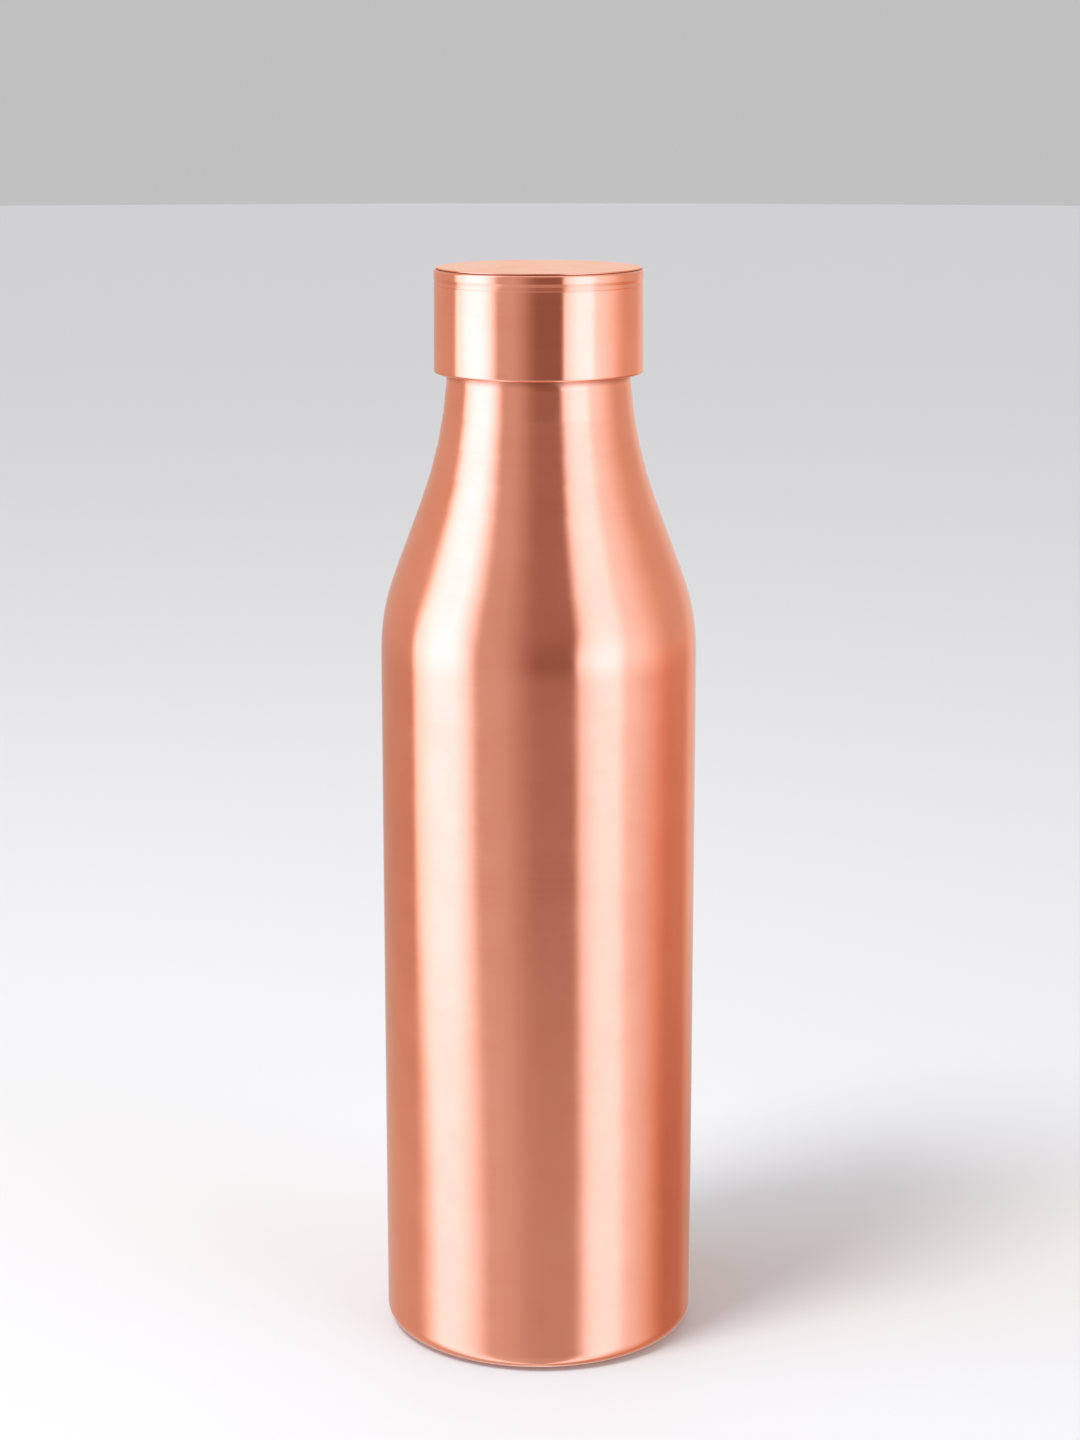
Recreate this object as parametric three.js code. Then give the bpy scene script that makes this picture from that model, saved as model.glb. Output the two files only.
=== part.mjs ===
// A one-litre-class copper water bottle with a screw cap, in millimetres, +Z up.
// The origin is the middle of the base, on the surface that the bottle stands on.
// Every piece is turned round the Z axis. The two threads are one right-hand helix round it.
import * as THREE from "three";

// The body is one seamless drawn shell.
const SHEET = 0.5;
const BODY_RADIUS = 37.5;
const BASE_CORNER = 4;
const FOOT_INNER_RADIUS = 30.4;
const RECESS_RADIUS = 29.2;
const RECESS_STEP = 1.2;
const RECESS_DEPTH = 2.8;
const SHOULDER_Z = 168.1;
const SHOULDER_ARC = 52.7;
const SHOULDER_SLOPE = 20.45; // degrees from the vertical
const FLARE_ARC = 100.4;
const NECK_RADIUS = 21.4;

// The neck steps in at the mouth, carries the thread collar and ends in a rolled lip.
const NECK_TOP_Z = 240.2;
const NECK_STEP = 0.8;
const MOUTH_RADIUS = 20;
const MOUTH_Z = 253;
const LIP_RADIUS = 20.9;
const LIP_HEIGHT = 0.8;
const LIP_EDGE = 0.3;

// One thread, shared by the collar on the neck and the ring in the cap.
const THREAD_PITCH = 4;
const THREAD_DEPTH = 1;
const THREAD_ROOT_RADIUS = 20.9;
const THREAD_CLEARANCE = 0.3;
const THREAD_BOTTOM_Z = 242.9;
const THREAD_TOP_Z = 251.9;
const THREAD_FADE = 1.4;
const THREAD_ROW = 0.65;
const THREAD_START = 0.7; // plain height left under the collar's thread
const CAP_THREAD_INSET = 0.2; // how far the cap's thread starts above the collar's
const CAP_THREAD_END = 0.3; // how far the cap's thread stops below the mouth

// The cap.
const CAP_RADIUS = 24.6;
const CAP_TAPER = 0.15;
const CAP_BOTTOM_Z = 233.9;
const CAP_TOP_Z = 258.25;
const HEM_BEND = 0.6;
const HEM_INNER_RADIUS = 22.3;
const BEAD_RADIUS = 24.5;
const BEAD_BOTTOM_Z = 254.1;
const BEAD_Z = 254.5;
const GROOVE_RADIUS = 24.38;
const GROOVE_Z = 255.1;
const RIM_RADIUS = 24.5;
const RIM_BOTTOM_Z = 255.9;
const RIM_TOP_Z = 257.85;
const RIM_EDGE = 0.55;
const FLANGE_RADIUS = 20.5;
const TOP_DISC_RADIUS = 23.85;
const TOP_DISC_EDGE = 0.12;
const RING_WALL_RADIUS = 23.3;
const RING_SKIRT_RADIUS = 22.7;
const RING_FOOT = 0.5; // chamfer at the foot of the ring
const RING_FOOT_WIDTH = 0.2;
const RING_TOP_Z = 255;
const INNER_DISC_DISH = 0.5;
const INNER_DISC_FLAT = 1.4; // how far the pressing face runs inside the seal
const INNER_DISC_SLOPE = 1;

// The seal.
const SEAL_INNER_RADIUS = 18.4;
const SEAL_OUTER_RADIUS = 22;
const SEAL_CORNER = 0.4;

// The braze fillet.
const BRAZE_RISE = 0.3;
const BRAZE_INNER_RADIUS = 20.4;
const BRAZE_TOE = 0.2;

const GAP = 0.05; // left between two pieces that touch
const SEGMENTS = 64; // round the axis, the same on every piece so that the gaps stay even

const point = (r, z) => new THREE.Vector2(r, z);

// Points on an arc of the profile; 0 degrees points away from the axis and 90 degrees points up.
function arc(centreR, centreZ, radius, fromDegrees, toDegrees, steps) {
  return Array.from({ length: steps + 1 }, (_, i) => {
    const angle = THREE.MathUtils.degToRad(THREE.MathUtils.lerp(fromDegrees, toDegrees, i / steps));
    return point(centreR + radius * Math.cos(angle), centreZ + radius * Math.sin(angle));
  });
}

// The same line moved to its left by a thickness. A line that starts on the axis still starts there.
function offsetLine(line, thickness) {
  return line.map((here, i) => {
    const before = line[i - 1];
    const after = line[i + 1];
    const into = before ? here.clone().sub(before) : after.clone().sub(here);
    const out = after ? after.clone().sub(here) : into.clone();
    const direction = into.normalize().clone().add(out.normalize()).normalize();
    const reach = thickness / direction.dot(out);
    const moved = point(here.x - direction.y * reach, here.y + direction.x * reach);
    return here.x === 0 ? point(0, here.y + thickness) : moved;
  });
}

// A piece turned round Z, from a profile that closes on itself or starts and ends on the axis.
function turnedPiece(name, profile, material) {
  const line = profile[0].x === 0 ? profile : [...profile, profile[0]];
  const geometry = new THREE.LatheGeometry(line, SEGMENTS).rotateX(Math.PI / 2);
  const mesh = new THREE.Mesh(geometry, material);
  mesh.name = name;
  return mesh;
}

// A ring whose closed section changes with the angle round Z. Each section runs anticlockwise.
function threadedPiece(name, sectionAt, material) {
  const sections = Array.from({ length: SEGMENTS }, (_, i) => {
    const angle = (2 * Math.PI * i) / SEGMENTS;
    const place = (p) => new THREE.Vector3(p.x * Math.cos(angle), p.x * Math.sin(angle), p.y);
    return sectionAt(angle).map(place);
  });
  const count = sections[0].length;
  const corners = [];
  for (let i = 0; i < SEGMENTS; i++) {
    for (let j = 0; j < count; j++) {
      const here = i * count;
      const next = ((i + 1) % SEGMENTS) * count;
      const up = (j + 1) % count;
      corners.push(here + j, next + j, next + up, here + j, next + up, here + up);
    }
  }
  const geometry = new THREE.BufferGeometry().setFromPoints(sections.flat()).setIndex(corners);
  const mesh = new THREE.Mesh(geometry, material);
  mesh.name = name;
  return mesh;
}

// How high the collar's thread stands at a place: 0 at the root and 1 on the crest.
function threadHeight(angle, z) {
  return 0.5 + 0.5 * Math.cos((2 * Math.PI * z) / THREAD_PITCH - angle);
}

// 1 along a thread, running out to 0 at its two ends.
function threadRunOut(z, bottom, top) {
  const start = THREE.MathUtils.smoothstep(z, bottom, bottom + THREAD_FADE);
  const end = THREE.MathUtils.smoothstep(z, top - THREAD_FADE, top);
  return start * (1 - end);
}

// Heights from bottom to top, close enough together to carry the thread.
function threadRows(bottom, top) {
  const count = Math.round((top - bottom) / THREAD_ROW);
  return Array.from({ length: count + 1 }, (_, i) => THREE.MathUtils.lerp(bottom, top, i / count));
}

const satinCopper = new THREE.MeshStandardMaterial({ color: 0xcf8163, metalness: 1, roughness: 0.28 });
const brightCopper = new THREE.MeshStandardMaterial({ color: 0xd98c6c, metalness: 1, roughness: 0.16 });
const braze = new THREE.MeshStandardMaterial({ color: 0xb98a54, metalness: 1, roughness: 0.35 });
const silicone = new THREE.MeshStandardMaterial({ color: 0xe9e6df, metalness: 0, roughness: 0.55 });

// The drawn shell: dished base, straight wall, shoulder, flared neck, and the mouth with its lip.
function bodyShell() {
  const slope = THREE.MathUtils.degToRad(SHOULDER_SLOPE);
  const arcs = SHOULDER_ARC + FLARE_ARC;
  const straight = (BODY_RADIUS - NECK_RADIUS - arcs * (1 - Math.cos(slope))) / Math.sin(slope);
  const neckZ = SHOULDER_Z + arcs * Math.sin(slope) + straight * Math.cos(slope);
  const outside = [
    point(0, RECESS_DEPTH),
    point(RECESS_RADIUS, RECESS_STEP),
    point(FOOT_INNER_RADIUS, 0),
    ...arc(BODY_RADIUS - BASE_CORNER, BASE_CORNER, BASE_CORNER, -90, 0, 6),
    ...arc(BODY_RADIUS - SHOULDER_ARC, SHOULDER_Z, SHOULDER_ARC, 0, SHOULDER_SLOPE, 6),
    ...arc(NECK_RADIUS + FLARE_ARC, neckZ, FLARE_ARC, 180 + SHOULDER_SLOPE, 180, 8),
    point(NECK_RADIUS, NECK_TOP_Z),
    point(MOUTH_RADIUS, NECK_TOP_Z + NECK_STEP),
    point(MOUTH_RADIUS, MOUTH_Z - LIP_HEIGHT),
  ];
  const bore = MOUTH_RADIUS - SHEET;
  const lip = [
    point(LIP_RADIUS, MOUTH_Z - LIP_HEIGHT),
    point(LIP_RADIUS, MOUTH_Z - LIP_EDGE),
    point(LIP_RADIUS - LIP_EDGE, MOUTH_Z),
    point(bore + LIP_EDGE, MOUTH_Z),
    point(bore, MOUTH_Z - LIP_EDGE),
  ];
  const inside = offsetLine(outside, SHEET).reverse();
  return turnedPiece("body_shell", [...outside, ...lip, ...inside.slice(1)], satinCopper);
}

// The threaded collar on the mouth. A plain band at its foot is as wide as the neck.
function neckThreadCollar() {
  const bore = MOUTH_RADIUS + 2 * GAP;
  const foot = NECK_TOP_Z + NECK_STEP + 4 * GAP;
  const bandTop = THREAD_BOTTOM_Z - THREAD_START;
  const top = MOUTH_Z - LIP_HEIGHT - GAP;
  const rows = threadRows(THREAD_BOTTOM_Z, THREAD_TOP_Z);
  const threadPoint = (angle, z) => {
    const height = threadHeight(angle, z) * threadRunOut(z, THREAD_BOTTOM_Z, THREAD_TOP_Z);
    return point(THREAD_ROOT_RADIUS + THREAD_DEPTH * height, z);
  };
  const sectionAt = (angle) => [
    point(bore, foot),
    point(NECK_RADIUS, foot),
    point(NECK_RADIUS, bandTop),
    ...rows.map((z) => threadPoint(angle, z)),
    point(THREAD_ROOT_RADIUS, top),
    point(bore, top),
  ];
  return threadedPiece("neck_thread_collar", sectionAt, brightCopper);
}

// The braze that fills the corner between the neck's step and the collar's foot.
function neckBrazeRing() {
  const top = NECK_TOP_Z + NECK_STEP + 3 * GAP;
  const bottom = NECK_TOP_Z + BRAZE_RISE;
  const outer = NECK_RADIUS - GAP;
  const profile = [
    point(BRAZE_INNER_RADIUS, top),
    point(outer - BRAZE_TOE, bottom),
    point(outer, bottom),
    point(outer, top),
  ];
  return turnedPiece("neck_braze_ring", profile, braze);
}

// The silicone washer that the cap presses on the mouth.
function sealRing() {
  const bottom = MOUTH_Z + GAP;
  const top = RING_TOP_Z - GAP;
  const inner = SEAL_INNER_RADIUS;
  const outer = SEAL_OUTER_RADIUS;
  const profile = [
    point(inner + SEAL_CORNER, bottom),
    point(outer - SEAL_CORNER, bottom),
    point(outer, bottom + SEAL_CORNER),
    point(outer, top - SEAL_CORNER),
    point(outer - SEAL_CORNER, top),
    point(inner + SEAL_CORNER, top),
    point(inner, top - SEAL_CORNER),
    point(inner, bottom + SEAL_CORNER),
  ];
  return turnedPiece("seal_ring", profile, silicone);
}

// The cap's sleeve: turned-in hem, wall, a faint bead, the rim that stands a little proud, and its flange.
function capShell() {
  const wallTop = CAP_RADIUS - CAP_TAPER;
  const hemR = CAP_RADIUS - HEM_BEND;
  const hemZ = CAP_BOTTOM_Z + HEM_BEND;
  const profile = [
    point(HEM_INNER_RADIUS, CAP_BOTTOM_Z),
    ...arc(hemR, hemZ, HEM_BEND, -90, 0, 4),
    point(wallTop, BEAD_BOTTOM_Z),
    point(BEAD_RADIUS, BEAD_Z),
    point(GROOVE_RADIUS, GROOVE_Z),
    point(RIM_RADIUS, RIM_BOTTOM_Z),
    ...arc(RIM_RADIUS - RIM_EDGE, RIM_TOP_Z - RIM_EDGE, RIM_EDGE, 0, 90, 4),
    point(FLANGE_RADIUS, RIM_TOP_Z),
    point(FLANGE_RADIUS, RIM_TOP_Z - SHEET),
    point(GROOVE_RADIUS - SHEET, RIM_TOP_Z - SHEET),
    point(GROOVE_RADIUS - SHEET, GROOVE_Z),
    point(wallTop - SHEET, BEAD_BOTTOM_Z),
    ...arc(hemR, hemZ, HEM_BEND - SHEET, 0, -90, 2),
    point(HEM_INNER_RADIUS, CAP_BOTTOM_Z + SHEET),
  ];
  return turnedPiece("cap_shell", profile, brightCopper);
}

// The disc that closes the top of the cap and stands a little proud of the rim.
function capTopDisc() {
  const bottom = RIM_TOP_Z + GAP;
  const profile = [
    point(0, bottom),
    point(TOP_DISC_RADIUS, bottom),
    point(TOP_DISC_RADIUS, CAP_TOP_Z - TOP_DISC_EDGE),
    point(TOP_DISC_RADIUS - TOP_DISC_EDGE, CAP_TOP_Z),
    point(0, CAP_TOP_Z),
  ];
  return turnedPiece("cap_top_disc", profile, brightCopper);
}

// The ring in the cap: a plain skirt on the hem, the inside thread, and the seal's seat above it.
function capThreadRing() {
  const foot = CAP_BOTTOM_Z + SHEET + 2 * GAP;
  const root = THREAD_ROOT_RADIUS + THREAD_DEPTH + THREAD_CLEARANCE;
  const bottom = THREAD_BOTTOM_Z + CAP_THREAD_INSET;
  const top = MOUTH_Z - CAP_THREAD_END;
  const rows = threadRows(bottom, top).reverse();
  const threadPoint = (angle, z) => {
    const height = (1 - threadHeight(angle, z)) * threadRunOut(z, bottom, top);
    return point(root - THREAD_DEPTH * height, z);
  };
  const sectionAt = (angle) => [
    point(RING_SKIRT_RADIUS, foot),
    point(RING_SKIRT_RADIUS + RING_FOOT_WIDTH, foot),
    point(RING_WALL_RADIUS, foot + RING_FOOT),
    point(RING_WALL_RADIUS, RING_TOP_Z),
    point(SEAL_OUTER_RADIUS + 4 * GAP, RING_TOP_Z),
    ...rows.map((z) => threadPoint(angle, z)),
    point(RING_SKIRT_RADIUS, bottom - THREAD_DEPTH),
  ];
  return threadedPiece("cap_thread_ring", sectionAt, brightCopper);
}

// The dished disc inside the cap that presses on the seal.
function capInnerDisc() {
  const bottom = RING_TOP_Z + GAP;
  const flat = SEAL_INNER_RADIUS - INNER_DISC_FLAT;
  const underside = [
    point(0, bottom + INNER_DISC_DISH),
    point(flat - INNER_DISC_SLOPE, bottom + INNER_DISC_DISH),
    point(flat, bottom),
    point(RING_WALL_RADIUS, bottom),
  ];
  const top = offsetLine(underside, SHEET).reverse();
  return turnedPiece("cap_inner_disc", [...underside, ...top], satinCopper);
}

const bottle = new THREE.Group();
bottle.add(bodyShell(), neckThreadCollar(), neckBrazeRing());
bottle.add(sealRing());
bottle.add(capShell(), capTopDisc(), capThreadRing(), capInnerDisc());

export default bottle;
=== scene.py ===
# Copper water bottle with a screw cap: the looks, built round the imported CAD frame.
# Lengths are in metres.
import math

import bmesh
import bpy
from mathutils import Matrix, Vector


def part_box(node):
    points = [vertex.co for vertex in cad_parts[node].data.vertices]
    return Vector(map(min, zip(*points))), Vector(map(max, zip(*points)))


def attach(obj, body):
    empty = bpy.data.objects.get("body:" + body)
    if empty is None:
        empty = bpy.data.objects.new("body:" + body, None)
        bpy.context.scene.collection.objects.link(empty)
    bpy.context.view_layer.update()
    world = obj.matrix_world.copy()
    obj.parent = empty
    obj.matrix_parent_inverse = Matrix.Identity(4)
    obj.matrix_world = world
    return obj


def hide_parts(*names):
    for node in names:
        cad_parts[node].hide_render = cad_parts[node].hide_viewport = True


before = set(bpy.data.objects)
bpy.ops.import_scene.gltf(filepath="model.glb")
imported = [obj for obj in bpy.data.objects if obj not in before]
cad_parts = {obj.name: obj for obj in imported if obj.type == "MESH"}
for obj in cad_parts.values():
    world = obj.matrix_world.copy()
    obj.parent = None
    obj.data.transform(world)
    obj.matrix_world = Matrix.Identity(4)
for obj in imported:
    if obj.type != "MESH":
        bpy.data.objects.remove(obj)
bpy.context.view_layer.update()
MM = 0.001


# ---------------------------------------------------------------- sizes

def lowest(node):
    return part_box(node)[0].z


def highest(node):
    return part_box(node)[1].z


def radius_of(node):
    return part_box(node)[1].x


SHEET = 0.5 * MM

BODY_R = radius_of("body_shell")
MOUTH_Z = highest("body_shell")
BASE_CORNER = 4 * MM
FOOT_INNER_R = 30.4 * MM
RECESS_R = 29.2 * MM
RECESS_STEP = 1.2 * MM
RECESS_DEPTH = 2.8 * MM
SHOULDER_Z = 168.1 * MM
SHOULDER_ARC = 52.7 * MM
SHOULDER_SLOPE = math.radians(20.45)
FLARE_ARC = 100.4 * MM
NECK_R = 21.4 * MM
NECK_TOP_Z = 240.2 * MM
NECK_STEP = 0.8 * MM
MOUTH_R = 20 * MM
LIP_R = 20.9 * MM
LIP_HEIGHT = 0.8 * MM
LIP_EDGE = 0.35 * MM

COLLAR_BORE_R = MOUTH_R + 0.1 * MM
COLLAR_FOOT_Z = NECK_TOP_Z + NECK_STEP + 0.2 * MM
COLLAR_TOP_Z = MOUTH_Z - LIP_HEIGHT - 0.05 * MM
COLLAR_EDGE = 0.15 * MM
COLLAR_BAND_GAP = 0.7 * MM
COLLAR_ROOT_GAP = 0.2 * MM
BRAZE_TOP_Z = NECK_TOP_Z + NECK_STEP + 0.15 * MM
BRAZE_BOTTOM_Z = NECK_TOP_Z + 0.3 * MM
BRAZE_OUTER_R = NECK_R - 0.05 * MM
BRAZE_INNER_R = MOUTH_R + 0.4 * MM
BRAZE_EDGE = 0.1 * MM
SEAL_INNER_R = 18.4 * MM
SEAL_EDGE = 0.4 * MM

THREAD_PITCH = 4 * MM
THREAD_DEPTH = 1 * MM
THREAD_ROOT_R = 20.9 * MM
THREAD_CLEARANCE = 0.3 * MM
THREAD_BOTTOM_Z = 242.9 * MM
THREAD_TOP_Z = 251.9 * MM
THREAD_FADE = 1.4 * MM
THREAD_ROW = 0.2 * MM

CAP_R = radius_of("cap_shell")
CAP_BOTTOM_Z = lowest("cap_shell")
CAP_TAPER = 0.15 * MM
HEM_BEND = 0.6 * MM
HEM_INNER_R = 22.3 * MM
BEAD_R = 24.5 * MM
BEAD_BOTTOM_Z = 254.1 * MM
BEAD_Z = 254.5 * MM
GROOVE_R = 24.38 * MM
GROOVE_Z = 255.1 * MM
RIM_R = 24.5 * MM
RIM_BOTTOM_Z = 255.9 * MM
RIM_TOP_Z = highest("cap_shell")
RIM_EDGE = 0.55 * MM
FLANGE_R = 20.5 * MM
TOP_DISC_R = radius_of("cap_top_disc")
TOP_DISC_EDGE = 0.12 * MM
RING_WALL_R = radius_of("cap_thread_ring")
RING_SKIRT_R = 22.7 * MM
RING_TOP_Z = highest("cap_thread_ring")
RING_FOOT_STEP = 0.5 * MM
RING_FOOT_WIDTH = 0.2 * MM
RING_THREAD_BOTTOM_Z = THREAD_BOTTOM_Z + 0.2 * MM
RING_THREAD_TOP_Z = MOUTH_Z - 0.3 * MM
RING_LEAD_IN = 1 * MM
DISH_R = 17 * MM
DISH_DEPTH = 0.5 * MM
DISH_BEND = 1 * MM

SEGMENTS = 192
ARC_STEP = math.radians(5)
BEND_STEPS = 30
HOLD = 0.2 * MM
LONGEST = 8 * MM
SHARP_ANGLE = math.radians(40)
ON_AXIS = 1e-6


# ---------------------------------------------------------------- outlines, as (r, z) points

def smoothstep(value, low, high):
    t = min(max((value - low) / (high - low), 0), 1)
    return t * t * (3 - 2 * t)


def rounded(corners, closed=False):
    """An outline from (r, z, fillet) corners, each fillet drawn as an arc that meets both its sides."""
    line = []
    count = len(corners)
    for i, (r, z, fillet) in enumerate(corners):
        here = Vector((r, z))
        at_end = i in (0, count - 1) and not closed
        if at_end or fillet == 0:
            line.append(here)
            continue
        back = (Vector(corners[i - 1][:2]) - here).normalized()
        on = (Vector(corners[(i + 1) % count][:2]) - here).normalized()
        half = back.angle(on) / 2
        reach = fillet / math.tan(half)
        centre = here + (back + on).normalized() * fillet / math.sin(half)
        first = here + back * reach - centre
        turn = first.angle_signed(here + on * reach - centre)
        steps = max(4, math.ceil(abs(turn) / ARC_STEP))
        for step in range(steps + 1):
            line.append(centre + Matrix.Rotation(-turn * step / steps, 2) @ first)
    return line


def gentle_bend(before, corner, after, radius):
    """The corner turned by a bend that starts and ends straight and is tightest in its middle."""
    into = (corner - before).normalized()
    out = (after - corner).normalized()
    turn = into.angle_signed(out)
    stride = 4 / 3 * radius * abs(turn) / BEND_STEPS
    place = Vector((0, 0))
    places = [place.copy()]
    for step in range(BEND_STEPS):
        place += Matrix.Rotation(-turn * smoothstep(step + 0.5, 0, BEND_STEPS), 2) @ into * stride
        places.append(place.copy())
    start = corner - into * place.length / (into + out).length
    return [start + place for place in places]


def offset(line, distance):
    """The line moved to its left; a point on the axis moves straight up."""
    moved = []
    for i, here in enumerate(line):
        back = here - line[i - 1] if i else line[1] - here
        on = line[i + 1] - here if i < len(line) - 1 else back
        along = (back.normalized() + on.normalized()).normalized()
        reach = distance / along.dot(on.normalized())
        step = Vector((-along.y, along.x)) * reach if here.x > 0 else Vector((0, distance))
        moved.append(here + step)
    return moved


def held(line, closed=False):
    """Points added along the straight stretches, so that smooth shading keeps them flat."""
    full = []
    for i, here in enumerate(line):
        full.append(here)
        if i == len(line) - 1 and not closed:
            break
        after = line[(i + 1) % len(line)]
        length = (after - here).length
        if length < 4 * HOLD:
            continue
        count = math.ceil((length - 2 * HOLD) / LONGEST)
        for step in range(count + 1):
            reach = HOLD + (length - 2 * HOLD) * step / count
            full.append(here.lerp(after, reach / length))
    return full


# ---------------------------------------------------------------- meshes

def closed_mesh(name, vertices, faces):
    """A closed mesh with its faces outward, smooth but for its sharp edges."""
    mesh = bpy.data.meshes.new(name)
    mesh.from_pydata(vertices, [], faces)
    shape = bmesh.new()
    shape.from_mesh(mesh)
    bmesh.ops.recalc_face_normals(shape, faces=shape.faces)
    shape.to_mesh(mesh)
    shape.free()
    mesh.shade_smooth()
    mesh.set_sharp_from_angle(angle=SHARP_ANGLE)
    obj = bpy.data.objects.new(name, mesh)
    bpy.context.scene.collection.objects.link(obj)
    return obj


def turned(name, outline, closed=True):
    """A solid of revolution. An outline that isn't closed has both its ends on the axis."""
    vertices = []
    rings = []
    for r, z in held(outline, closed):
        on_axis = r < ON_AXIS
        rings.append([len(vertices) + (0 if on_axis else i) for i in range(SEGMENTS)])
        for i in range(1 if on_axis else SEGMENTS):
            a = 2 * math.pi * i / SEGMENTS
            vertices.append((r * math.cos(a), r * math.sin(a), z))
    faces = []
    for lower, upper in zip(rings, rings[1:] + rings[:1] if closed else rings[1:]):
        for i in range(SEGMENTS):
            j = (i + 1) % SEGMENTS
            corners = [lower[i], lower[j], upper[j], upper[i]]
            faces.append([c for n, c in enumerate(corners) if c != corners[n - 1]])
    return closed_mesh(name, vertices, faces)


def threaded(name, outline_at):
    """A ring whose outline changes with the angle, because a thread runs round it."""
    vertices = []
    for i in range(SEGMENTS):
        a = 2 * math.pi * i / SEGMENTS
        outline = outline_at(a)
        vertices += [(r * math.cos(a), r * math.sin(a), z) for r, z in outline]
    count = len(outline)
    faces = []
    for i in range(SEGMENTS):
        here = i * count
        after = (i + 1) % SEGMENTS * count
        for k in range(count):
            up = (k + 1) % count
            faces.append([here + k, after + k, after + up, here + up])
    return closed_mesh(name, vertices, faces)


def thread_height(angle, z, bottom, top):
    """A right-hand thread's wave, 0 at the root and 1 at the crest, and how far it has faded in."""
    wave = 0.5 + 0.5 * math.cos(2 * math.pi * z / THREAD_PITCH - angle)
    fade_in = smoothstep(z, bottom, bottom + THREAD_FADE)
    fade_out = 1 - smoothstep(z, top - THREAD_FADE, top)
    return wave, fade_in * fade_out


def thread_rows(bottom, top):
    count = round((top - bottom) / THREAD_ROW)
    return [bottom + (top - bottom) * i / count for i in range(count + 1)]


# ---------------------------------------------------------------- pieces

def body_shell():
    shoulder_z = SHOULDER_Z + SHOULDER_ARC * math.tan(SHOULDER_SLOPE / 2)
    flare_z = shoulder_z + (BODY_R - NECK_R) / math.tan(SHOULDER_SLOPE)
    lip_z = MOUTH_Z - LIP_HEIGHT
    wall = rounded([
        (0, RECESS_DEPTH, 0),
        (RECESS_R, RECESS_STEP, 1.5 * MM),
        (FOOT_INNER_R, 0, 1 * MM),
        (BODY_R, 0, BASE_CORNER),
        (BODY_R, SHOULDER_Z / 2, 0),
    ])
    shoulder_corner = Vector((BODY_R, shoulder_z))
    shoulder = gentle_bend(wall[-1], shoulder_corner, Vector((NECK_R, flare_z)), SHOULDER_ARC)
    neck = rounded([
        (*shoulder[-1], 0),
        (NECK_R, flare_z, FLARE_ARC),
        (NECK_R, NECK_TOP_Z, 0.8 * MM),
        (MOUTH_R, NECK_TOP_Z + NECK_STEP, 0.3 * MM),
        (MOUTH_R, lip_z, 0),
    ])
    outside = wall + shoulder + neck[1:]
    lip = rounded([
        (MOUTH_R, lip_z, 0),
        (LIP_R, lip_z, LIP_EDGE),
        (LIP_R, MOUTH_Z, LIP_EDGE),
        (MOUTH_R - SHEET, MOUTH_Z, LIP_EDGE),
        (MOUTH_R - SHEET, lip_z, 0),
    ])
    inside = offset(outside, SHEET)[::-1]
    return turned("bottle_body", outside + lip[1:-1] + inside, closed=False)


def neck_thread_collar():
    band = rounded([
        (COLLAR_BORE_R, COLLAR_FOOT_Z, 0),
        (NECK_R, COLLAR_FOOT_Z, COLLAR_EDGE),
        (NECK_R, THREAD_BOTTOM_Z - COLLAR_BAND_GAP, COLLAR_EDGE),
        (THREAD_ROOT_R, THREAD_BOTTOM_Z - COLLAR_ROOT_GAP, 0),
    ])

    def outline_at(angle):
        outline = list(band)
        for z in thread_rows(THREAD_BOTTOM_Z, THREAD_TOP_Z):
            wave, fade = thread_height(angle, z, THREAD_BOTTOM_Z, THREAD_TOP_Z)
            outline.append((THREAD_ROOT_R + THREAD_DEPTH * wave * fade, z))
        return outline + [(THREAD_ROOT_R, COLLAR_TOP_Z), (COLLAR_BORE_R, COLLAR_TOP_Z)]

    return threaded("neck_thread", outline_at)


def neck_braze_ring():
    return turned("neck_braze", rounded([
        (BRAZE_INNER_R, BRAZE_TOP_Z, 0),
        (BRAZE_OUTER_R - 2 * BRAZE_EDGE, BRAZE_BOTTOM_Z, BRAZE_EDGE),
        (BRAZE_OUTER_R, BRAZE_BOTTOM_Z, BRAZE_EDGE),
        (BRAZE_OUTER_R, BRAZE_TOP_Z, 0),
    ], closed=True))


def seal_ring():
    low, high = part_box("seal_ring")
    return turned("cap_seal", rounded([
        (high.x, low.z, SEAL_EDGE),
        (high.x, high.z, SEAL_EDGE),
        (SEAL_INNER_R, high.z, SEAL_EDGE),
        (SEAL_INNER_R, low.z, SEAL_EDGE),
    ], closed=True))


def cap_shell():
    wall_top = CAP_R - CAP_TAPER
    return turned("cap_sleeve", rounded([
        (HEM_INNER_R, CAP_BOTTOM_Z, 0.2 * MM),
        (CAP_R, CAP_BOTTOM_Z, HEM_BEND),
        (wall_top, BEAD_BOTTOM_Z, 0.3 * MM),
        (BEAD_R, BEAD_Z, 0.5 * MM),
        (GROOVE_R, GROOVE_Z, 0.4 * MM),
        (RIM_R, RIM_BOTTOM_Z, 0.5 * MM),
        (RIM_R, RIM_TOP_Z, RIM_EDGE),
        (FLANGE_R, RIM_TOP_Z, 0),
        (FLANGE_R, RIM_TOP_Z - SHEET, 0),
        (GROOVE_R - SHEET, RIM_TOP_Z - SHEET, 0.3 * MM),
        (GROOVE_R - SHEET, GROOVE_Z, 0.3 * MM),
        (wall_top - SHEET, BEAD_BOTTOM_Z, 0.3 * MM),
        (CAP_R - SHEET, CAP_BOTTOM_Z + SHEET, HEM_BEND - SHEET),
        (HEM_INNER_R, CAP_BOTTOM_Z + SHEET, 0.2 * MM),
    ], closed=True))


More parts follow.
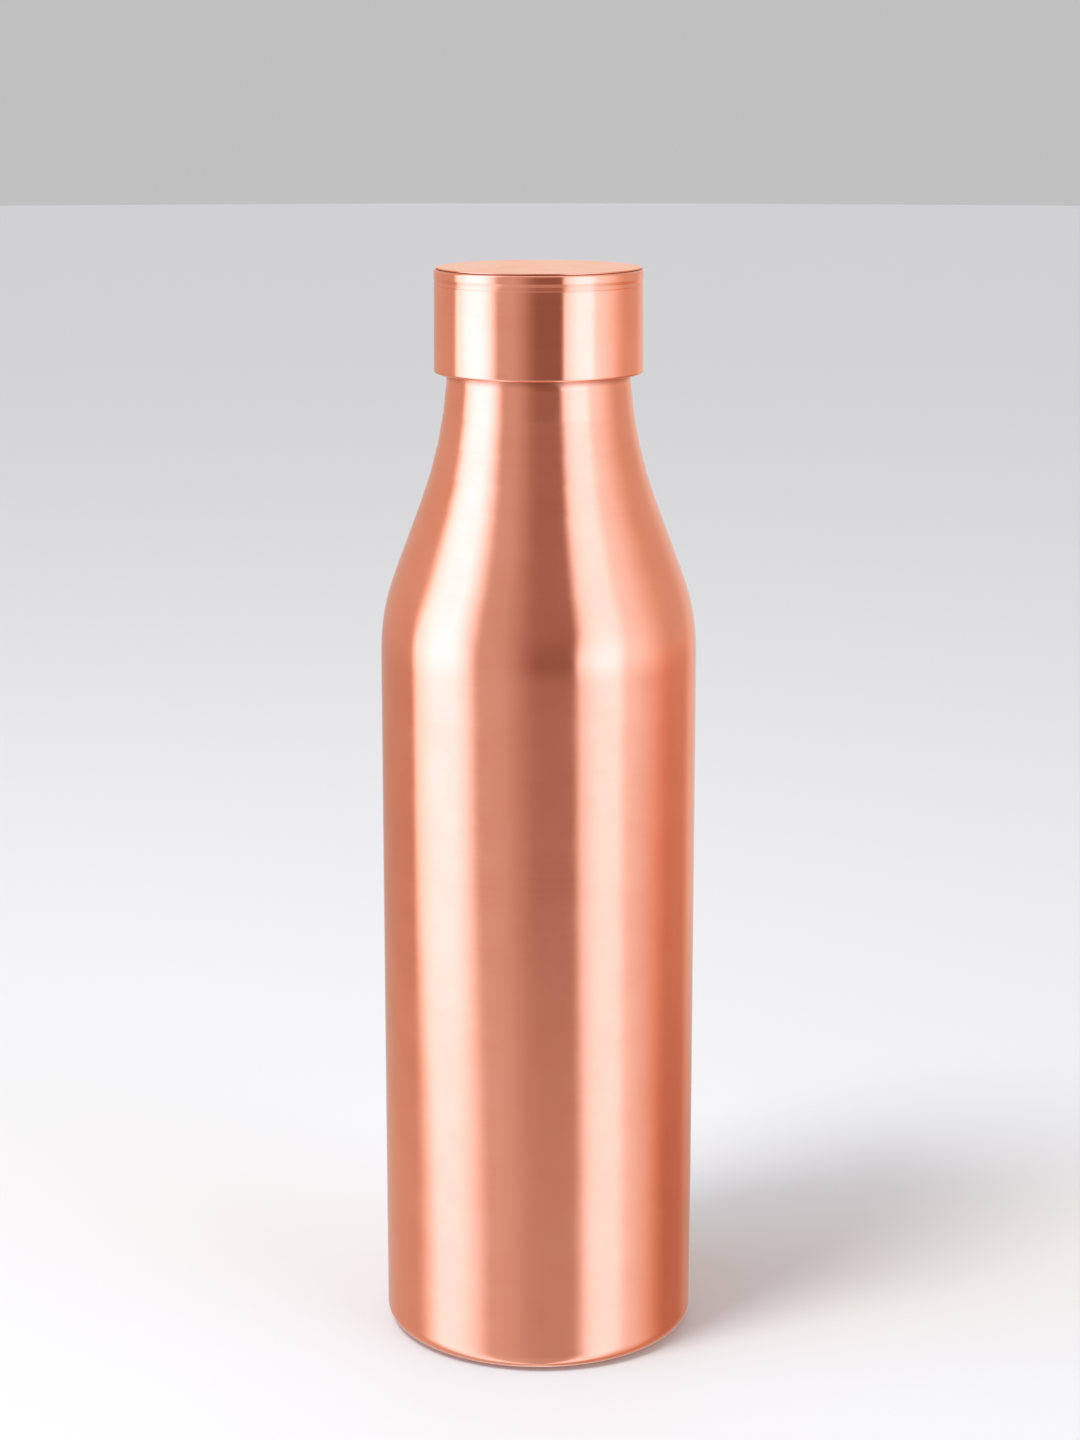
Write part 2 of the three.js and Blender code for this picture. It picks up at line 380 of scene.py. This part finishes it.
def cap_top_disc():
    low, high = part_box("cap_top_disc")
    return turned("cap_top", rounded([
        (0, low.z, 0),
        (TOP_DISC_R, low.z, TOP_DISC_EDGE),
        (TOP_DISC_R, high.z, TOP_DISC_EDGE),
        (0, high.z, 0),
    ]), closed=False)


def cap_thread_ring():
    foot = lowest("cap_thread_ring")
    root = THREAD_ROOT_R + THREAD_DEPTH + THREAD_CLEARANCE
    bottom = RING_THREAD_BOTTOM_Z
    top = RING_THREAD_TOP_Z

    def outline_at(angle):
        outline = [
            (RING_SKIRT_R, foot),
            (RING_SKIRT_R + RING_FOOT_WIDTH, foot),
            (RING_WALL_R, foot + RING_FOOT_STEP),
            (RING_WALL_R, RING_TOP_Z),
            (root, RING_TOP_Z),
        ]
        for z in reversed(thread_rows(bottom, top)):
            wave, fade = thread_height(angle, z, bottom, top)
            outline.append((root - THREAD_DEPTH * (1 - wave) * fade, z))
        return outline + [(RING_SKIRT_R, bottom - RING_LEAD_IN)]

    return threaded("cap_thread", outline_at)


def cap_inner_disc():
    bottom = lowest("cap_inner_disc")
    under = rounded([
        (0, bottom + DISH_DEPTH, 0),
        (DISH_R - DISH_BEND, bottom + DISH_DEPTH, DISH_BEND),
        (DISH_R, bottom, DISH_BEND),
        (RING_WALL_R, bottom, 0),
    ])
    return turned("cap_inner", under + offset(under, SHEET)[::-1], closed=False)


# ---------------------------------------------------------------- node helpers

def feed(tree, socket, value):
    """Link a socket to another node's output, or set it to a plain number or colour."""
    if isinstance(value, bpy.types.NodeSocket):
        tree.links.new(value, socket)
    elif isinstance(value, tuple) and len(value) == 3 and len(socket.default_value) == 4:
        socket.default_value = (*value, 1)
    else:
        socket.default_value = value


def maths(tree, operation, *values):
    node = tree.nodes.new("ShaderNodeMath")
    node.operation = operation
    for socket, value in zip(node.inputs, values):
        feed(tree, socket, value)
    return node.outputs[0]


def between(tree, value, low, high, to_low=0, to_high=1):
    """Goes smoothly from to_low to to_high as the value goes from low to high."""
    node = tree.nodes.new("ShaderNodeMapRange")
    node.interpolation_type = "SMOOTHSTEP"
    names = ("Value", "From Min", "From Max", "To Min", "To Max")
    for name, number in zip(names, (value, low, high, to_low, to_high)):
        feed(tree, node.inputs[name], number)
    return node.outputs[0]


def mixed(tree, factor, a, b):
    node = tree.nodes.new("ShaderNodeMix")
    feed(tree, node.inputs["Factor"], factor)
    feed(tree, node.inputs["A"], a)
    feed(tree, node.inputs["B"], b)
    return node.outputs["Result"]


def tinted(tree, factor, a, b, blend="MIX"):
    node = tree.nodes.new("ShaderNodeMix")
    node.data_type = "RGBA"
    node.blend_type = blend
    for socket, value in zip((node.inputs[0], node.inputs[6], node.inputs[7]), (factor, a, b)):
        feed(tree, socket, value)
    return node.outputs[2]


def noise(tree, vector, scale, detail=2, w=None):
    node = tree.nodes.new("ShaderNodeTexNoise")
    node.inputs["Scale"].default_value = scale
    node.inputs["Detail"].default_value = detail
    feed(tree, node.inputs["Vector"], vector)
    if w is not None:
        node.noise_dimensions = "4D"
        feed(tree, node.inputs["W"], w)
    return node.outputs["Fac"]


def joined(tree, x, y, z):
    node = tree.nodes.new("ShaderNodeCombineXYZ")
    for socket, value in zip(node.inputs, (x, y, z)):
        feed(tree, socket, value)
    return node.outputs[0]


def bumped(tree, height, strength, distance, normal=None):
    node = tree.nodes.new("ShaderNodeBump")
    node.inputs["Strength"].default_value = strength
    node.inputs["Distance"].default_value = distance
    feed(tree, node.inputs["Height"], height)
    if normal:
        feed(tree, node.inputs["Normal"], normal)
    return node.outputs[0]


# ---------------------------------------------------------------- materials

def new_material(name):
    material = bpy.data.materials.new(name)
    material.use_nodes = True
    tree = material.node_tree
    return material, tree, tree.nodes["Principled BSDF"]


def object_place(tree):
    """The point on the object, its x, y and z, and its distance from the bottle's axis."""
    point = tree.nodes.new("ShaderNodeTexCoord").outputs["Object"]
    parts = tree.nodes.new("ShaderNodeSeparateXYZ")
    feed(tree, parts.inputs[0], point)
    x, y, z = parts.outputs
    square = maths(tree, "ADD", maths(tree, "MULTIPLY", x, x), maths(tree, "MULTIPLY", y, y))
    radius = maths(tree, "SQRT", square)
    return point, x, y, z, radius


COPPER_DARK = (0.935, 0.405, 0.287)
COPPER_LIGHT = (0.96, 0.432, 0.312)
COPPER_LINE = (0.965, 0.45, 0.33)
# Dull brown for the crevices: tarnish, and painted shade where parts meet.
TARNISH_AND_SHADE = (0.5, 0.17, 0.1)
WHITE = (1, 1, 1)
TOP_EDGE_TINT = (1, 0.8, 0.6)
BRAZE_DARK = (0.62, 0.42, 0.21)
BRAZE_LIGHT = (0.8, 0.6, 0.34)
SILICONE_DARK = (0.84, 0.82, 0.77)
SILICONE_LIGHT = (0.9, 0.88, 0.84)

LINES_PER_METRE = 2600
LINE_LENGTH = 0.6
LINE_DEPTH = 0.0003 * MM
WAVE_DEPTH = 0.02 * MM
GRAIN_DEPTH = 0.002 * MM
RIPPLE_DEPTH = 0.06 * MM
SKIN_DEPTH = 0.01 * MM


def turning_lines(tree, x, y, z, radius):
    """Streaks that run round the axis and change quickly along it and outward."""
    safe_radius = maths(tree, "MAXIMUM", radius, 1 * MM)
    round_x = maths(tree, "MULTIPLY", maths(tree, "DIVIDE", x, safe_radius), LINE_LENGTH)
    round_y = maths(tree, "MULTIPLY", maths(tree, "DIVIDE", y, safe_radius), LINE_LENGTH)
    along = maths(tree, "MULTIPLY", z, LINES_PER_METRE)
    outward = maths(tree, "MULTIPLY", radius, LINES_PER_METRE)
    return noise(tree, joined(tree, round_x, round_y, along), 1, 3, outward)


def copper(name, roughness, crevices, edge_tint=WHITE):
    """Spun and buffed copper: turning lines, faint waves, duller patches, and crevices darkened by
    tarnish and by painted shade.
    """
    material, tree, shader = new_material(name)
    point, x, y, z, radius = object_place(tree)
    lines = turning_lines(tree, x, y, z, radius)
    waves = noise(tree, point, 38, 1)
    patches = noise(tree, point, 90, 4)
    grain = noise(tree, point, 2500, 2)

    # Painted shade with tarnish: the copper turns darker, browner and duller towards each crevice
    # height, standing in for the shade where parts meet.
    tarnish_and_shade = 0.0
    for height, reach in crevices:
        distance = maths(tree, "ABSOLUTE", maths(tree, "SUBTRACT", z, height))
        near = between(tree, distance, reach, 0)
        tarnish_and_shade = maths(tree, "MAXIMUM", near, tarnish_and_shade)
    tarnish_and_shade = maths(tree, "MULTIPLY", tarnish_and_shade, between(tree, patches, 0.2, 0.6, 0.45, 1))

    colour = tinted(tree, between(tree, patches, 0.3, 0.7), COPPER_DARK, COPPER_LIGHT)
    colour = tinted(tree, between(tree, lines, 0.35, 0.65, 0, 0.2), colour, COPPER_LINE)
    colour = tinted(tree, tarnish_and_shade, colour, TARNISH_AND_SHADE)
    feed(tree, shader.inputs["Base Color"], colour)
    shader.inputs["Metallic"].default_value = 1
    shader.inputs["Specular Tint"].default_value = (*edge_tint, 1)
    rough = between(tree, patches, 0.3, 0.75, roughness * 0.92, roughness * 1.2)
    rough = maths(tree, "ADD", rough, between(tree, lines, 0.3, 0.7, -0.012, 0.012))
    rough = maths(tree, "ADD", rough, maths(tree, "MULTIPLY", tarnish_and_shade, 0.22))
    feed(tree, shader.inputs["Roughness"], rough)
    normal = bumped(tree, waves, 1, WAVE_DEPTH)
    normal = bumped(tree, grain, 0.5, GRAIN_DEPTH, normal)
    normal = bumped(tree, lines, 1, LINE_DEPTH, normal)
    feed(tree, shader.inputs["Normal"], normal)
    return material


def braze():
    material, tree, shader = new_material("braze")
    point = object_place(tree)[0]
    ripple = noise(tree, point, 700, 3)
    colour = tinted(tree, between(tree, ripple, 0.35, 0.65), BRAZE_DARK, BRAZE_LIGHT)
    feed(tree, shader.inputs["Base Color"], colour)
    shader.inputs["Metallic"].default_value = 1
    feed(tree, shader.inputs["Roughness"], between(tree, ripple, 0.3, 0.7, 0.5, 0.32))
    feed(tree, shader.inputs["Normal"], bumped(tree, ripple, 1, RIPPLE_DEPTH))
    return material


def silicone():
    material, tree, shader = new_material("silicone")
    point = object_place(tree)[0]
    cloud = noise(tree, point, 260, 3)
    grain = noise(tree, point, 3200, 2)
    feed(tree, shader.inputs["Base Color"], tinted(tree, cloud, SILICONE_DARK, SILICONE_LIGHT))
    feed(tree, shader.inputs["Roughness"], between(tree, cloud, 0.3, 0.7, 0.46, 0.58))
    shader.inputs["Subsurface Weight"].default_value = 0.15
    shader.inputs["Subsurface Scale"].default_value = 0.6 * MM
    feed(tree, shader.inputs["Normal"], bumped(tree, grain, 0.4, SKIN_DEPTH))
    return material


# ---------------------------------------------------------------- studio

# Two softboxes, a dark strip in front and dim sides, round the bottle. Directions are degrees round
# from the camera, positive to its right, elevations are degrees up, and a brightness of 1 is a white
# wall. A light that changes with height has four values, one for each of these elevations: by the
# floor, on the wall, at eye level and overhead. A share says how far a softbox's other edge moves for
# each degree of its softness.
HEIGHTS = (-22, -14, -5, 14)

LEFT_FILL = (0.66, 0.6, 0.6, 0.58)
FILL_TO_STRIP = (-32, 2)
DARK_STRIP = (0.46, 0.3, 0.18, 0.25)
FILL_TO_LEFT_SIDE = (-60, -100)
LEFT_SIDE = (0.55, 0.45, 0.54, 0.58)
STRIP_TO_RIGHT_SIDE = (30, 60)
RIGHT_SIDE = (0.28, 0.38, 0.57, 0.58)
SIDE_TO_RIGHT_BACK = (130, 148)
RIGHT_BACK = (0.4, 0.65, 0.72, 0.68)
SIDES_TO_BEHIND = (162, 180)
BEHIND = 0.95

LEFT_BOX_OUTER = -106
LEFT_BOX_INNER = -46
LEFT_BOX_FULL_UP_TO = -55
LEFT_BOX_CORE_SPAN = (-80, -66)
LEFT_BOX_CORE_END = -50
LEFT_BOX_SOFTNESS = (30, 8, 7, 13)
LEFT_BOX_INNER_SHARE = 0.4
LEFT_BOX_RIM = (1.5, 1.5, 1.7, 1.6)
LEFT_BOX_CORE = (1.8, 2, 2.35, 2.3)

RIGHT_BOX_INNER = 24
RIGHT_BOX_FULL_UP_TO = 64
RIGHT_BOX_CORE_SPAN = (47, 57)
RIGHT_BOX_CORE_END = 65
RIGHT_BOX_SOFTNESS = (15, 8, 6, 11)
RIGHT_BOX_CORE_SHARE = 0.5
RIGHT_BOX_CORE = (1.7, 1.7, 2.1, 1.8)
RIGHT_WING = (1.1, 1.05, 1.45, 1.3)
RIGHT_WING_END = 112

GROUND = (-28, -50)
GROUND_SHARE = 0.25
GROUND_LEVEL = 0.75
CEILING = (38, 65)
CEILING_LEVEL = 0.9

DIM_WARMTH = 0.7
COOL_SLOPE = 0.24
COOL_START = 0.77
SIDE_START = (78, 105)
LOW_RIGHT_START = (75, 100)
LOW_RIGHT_HEIGHT = (0, -14)
SIDE_END = (168, 132)
SIDE_TINT = (1.08, 0.97, 0.87)
LOW_RIGHT_TINT = (1.2, 1, 0.92)

SEEN_BACKGROUND = (0.53, 0.53, 0.53)


def at_height(tree, elevation, values):
    """A light's value at an elevation, going smoothly through its four values."""
    value = values[0]
    for low, high, to in zip(HEIGHTS, HEIGHTS[1:], values[1:]):
        value = between(tree, elevation, low, high, value, to)
    return value


def within(tree, azimuth, start, full_start, full_end, end):
    """1 from full_start to full_end, fading to 0 at start and end."""
    rise = between(tree, azimuth, start, full_start)
    return maths(tree, "MULTIPLY", rise, between(tree, azimuth, end, full_end))


def fill_light(tree, azimuth, elevation):
    """The dim studio between the softboxes."""
    left, strip, left_side, right_side, right_back = (
        at_height(tree, elevation, values)
        for values in (LEFT_FILL, DARK_STRIP, LEFT_SIDE, RIGHT_SIDE, RIGHT_BACK)
    )
    aside = maths(tree, "ABSOLUTE", azimuth)
    fill = between(tree, azimuth, *FILL_TO_STRIP, left, strip)
    fill = mixed(tree, between(tree, azimuth, *FILL_TO_LEFT_SIDE), fill, left_side)
    fill = mixed(tree, between(tree, azimuth, *STRIP_TO_RIGHT_SIDE), fill, right_side)
    fill = mixed(tree, between(tree, azimuth, *SIDE_TO_RIGHT_BACK), fill, right_back)
    return mixed(tree, between(tree, aside, *SIDES_TO_BEHIND), fill, BEHIND)


def left_box(tree, azimuth, elevation):
    """Where the left softbox is, and how bright. Its edges are softest by the floor."""
    soft, rim, core = (
        at_height(tree, elevation, values)
        for values in (LEFT_BOX_SOFTNESS, LEFT_BOX_RIM, LEFT_BOX_CORE)
    )
    full = maths(tree, "ADD", LEFT_BOX_OUTER, soft)
    end = maths(tree, "MULTIPLY_ADD", soft, LEFT_BOX_INNER_SHARE, LEFT_BOX_INNER)
    shown = within(tree, azimuth, LEFT_BOX_OUTER, full, LEFT_BOX_FULL_UP_TO, end)
    glow = within(tree, azimuth, LEFT_BOX_OUTER, *LEFT_BOX_CORE_SPAN, LEFT_BOX_CORE_END)
    return shown, mixed(tree, glow, rim, core)


def right_box(tree, azimuth, elevation):
    """Where the right softbox and its dimmer wing are, and how bright."""
    soft, wing, core = (
        at_height(tree, elevation, values)
        for values in (RIGHT_BOX_SOFTNESS, RIGHT_WING, RIGHT_BOX_CORE)
    )
    full = maths(tree, "ADD", RIGHT_BOX_INNER, soft)
    shown = within(tree, azimuth, RIGHT_BOX_INNER, full, RIGHT_BOX_FULL_UP_TO, RIGHT_WING_END)
    core_end = maths(tree, "MULTIPLY_ADD", soft, RIGHT_BOX_CORE_SHARE, RIGHT_BOX_CORE_END)
    glow = within(tree, azimuth, RIGHT_BOX_INNER, *RIGHT_BOX_CORE_SPAN, core_end)
    return shown, mixed(tree, glow, wing, core)


def studio_brightness(tree, azimuth, elevation):
    level = fill_light(tree, azimuth, elevation)
    for softbox in (left_box, right_box):
        shown, light = softbox(tree, azimuth, elevation)
        level = mixed(tree, shown, level, light)
    on_ground = between(tree, elevation, *GROUND, 0, GROUND_SHARE)
    level = mixed(tree, on_ground, level, GROUND_LEVEL)
    return mixed(tree, between(tree, elevation, *CEILING), level, CEILING_LEVEL)


def studio_light(tree, azimuth, elevation):
    """The studio's colour: dim parts warm, the softboxes a little cool, and low right the reddest."""
    level = studio_brightness(tree, azimuth, elevation)
    red = maths(tree, "POWER", level, DIM_WARMTH)
    coolness = maths(tree, "MULTIPLY_ADD", level, COOL_SLOPE, COOL_START)
    colour = joined(tree, red, level, maths(tree, "MULTIPLY", level, coolness))
    aside = maths(tree, "ABSOLUTE", azimuth)
    before_back = between(tree, aside, *SIDE_END)
    to_side = maths(tree, "MULTIPLY", between(tree, aside, *SIDE_START), before_back)
    side = tinted(tree, 1.0, colour, SIDE_TINT, "MULTIPLY")
    colour = tinted(tree, to_side, colour, side)
    to_right = between(tree, azimuth, *LOW_RIGHT_START)
    to_low_right = maths(tree, "MULTIPLY", to_right, between(tree, elevation, *LOW_RIGHT_HEIGHT))
    to_low_right = maths(tree, "MULTIPLY", to_low_right, before_back)
    low_right = tinted(tree, 1.0, colour, LOW_RIGHT_TINT, "MULTIPLY")
    return tinted(tree, to_low_right, colour, low_right)


def studio_world():
    world = bpy.data.worlds.new("studio")
    bpy.context.scene.world = world
    world.use_nodes = True
    tree = world.node_tree
    tree.nodes.clear()
    parts = tree.nodes.new("ShaderNodeSeparateXYZ")
    feed(tree, parts.inputs[0], tree.nodes.new("ShaderNodeTexCoord").outputs["Generated"])
    x, y, z = parts.outputs
    azimuth = maths(tree, "DEGREES", maths(tree, "ARCTAN2", x, maths(tree, "MULTIPLY", y, -1)))
    elevation = maths(tree, "DEGREES", maths(tree, "ARCSINE", z))
    shown = tree.nodes.new("ShaderNodeLightPath").outputs["Is Camera Ray"]
    colour = tinted(tree, shown, studio_light(tree, azimuth, elevation), SEEN_BACKGROUND)
    background = tree.nodes.new("ShaderNodeBackground")
    feed(tree, background.inputs["Color"], colour)
    output = tree.nodes.new("ShaderNodeOutputWorld")
    feed(tree, output.inputs["Surface"], background.outputs[0])


FLOOR_REACH = 5.74
FLOOR_SIDES = 128
FLOOR_Z = -0.2 * MM
FLOOR_COLOUR = (0.652, 0.674, 0.69)
FLOOR_ROUGHNESS = 0.9

KEY_SIZE = 0.4
KEY_POWER = 12
KEY_COLOUR = (1, 0.98, 0.95)
KEY_TARGET = Vector((0, 0, 0.1))
KEY_DIRECTION = Vector((-0.42, -0.38, 1))
KEY_DISTANCE = 1.3

CAMERA_PLACE = (0.0003, -0.7121, 0.3066)
CAMERA_DOWN = math.radians(12.35)
CAMERA_LENS = 76.15
CAMERA_SENSOR = 36


def floor():
    mesh = bpy.data.meshes.new("floor")
    ring = []
    for i in range(FLOOR_SIDES):
        a = 2 * math.pi * i / FLOOR_SIDES
        ring.append((FLOOR_REACH * math.cos(a), FLOOR_REACH * math.sin(a), FLOOR_Z))
    mesh.from_pydata(ring, [], [list(range(FLOOR_SIDES))])
    obj = bpy.data.objects.new("floor", mesh)
    bpy.context.scene.collection.objects.link(obj)
    material, tree, shader = new_material("pale_floor")
    shader.inputs["Base Color"].default_value = (*FLOOR_COLOUR, 1)
    shader.inputs["Roughness"].default_value = FLOOR_ROUGHNESS
    mesh.materials.append(material)
    obj.visible_glossy = False


def key_light():
    data = bpy.data.lights.new("key", "AREA")
    data.shape = "DISK"
    data.size = KEY_SIZE
    data.energy = KEY_POWER
    data.color = KEY_COLOUR
    obj = bpy.data.objects.new("key", data)
    bpy.context.scene.collection.objects.link(obj)
    obj.location = KEY_TARGET + KEY_DISTANCE * KEY_DIRECTION.normalized()
    obj.rotation_euler = (KEY_TARGET - obj.location).to_track_quat("-Z", "Y").to_euler()
    obj.visible_glossy = False


def camera():
    data = bpy.data.cameras.new("camera")
    data.lens = CAMERA_LENS
    data.sensor_width = CAMERA_SENSOR
    data.clip_start = 0.05
    data.clip_end = 50
    obj = bpy.data.objects.new("camera", data)
    bpy.context.scene.collection.objects.link(obj)
    obj.location = CAMERA_PLACE
    obj.rotation_euler = (math.radians(90) - CAMERA_DOWN, 0, 0)
    bpy.context.scene.camera = obj


def main():
    camera()
    studio_world()
    key_light()
    floor()
    # Painted shade: the band at the cap's hem darkens the neck just below it, where the cap shades it,
    # and stays as a dark ring when the cap is off. The band at the neck step is a darker, duller band
    # under the braze ring.
    neck_crevices = [(NECK_TOP_Z, 1.5 * MM), (CAP_BOTTOM_Z, 2 * MM)]
    # A thin darker, duller band at the rim top, under the top disc's edge.
    cap_crevices = [(RIM_TOP_Z, 0.15 * MM)]
    materials = {
        "satin_copper": copper("satin_copper", 0.12, neck_crevices),
        "bright_copper": copper("bright_copper", 0.1, cap_crevices),
        "top_copper": copper("top_copper", 0.2, [], TOP_EDGE_TINT),
        "braze": braze(),
        "silicone": silicone(),
    }
    pieces = [
        (body_shell, "bottle", "satin_copper", "satin_copper"),
        (neck_thread_collar, "bottle", "bright_copper", "bright_copper"),
        (neck_braze_ring, "bottle", "braze", "braze"),
        (seal_ring, "seal", "silicone", "silicone"),
        (cap_shell, "cap", "bright_copper", "bright_copper"),
        (cap_top_disc, "cap", "bright_copper", "top_copper"),
        (cap_thread_ring, "cap", "bright_copper", "bright_copper"),
        (cap_inner_disc, "cap", "satin_copper", "satin_copper"),
    ]
    for make, body, slot, material in pieces:
        piece = make()
        piece.data.materials.append(materials[material])
        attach(piece, body)
        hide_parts(make.__name__)


main()
bpy.context.scene.view_settings.view_transform = "Standard"
bpy.context.scene.view_settings.look = "None"
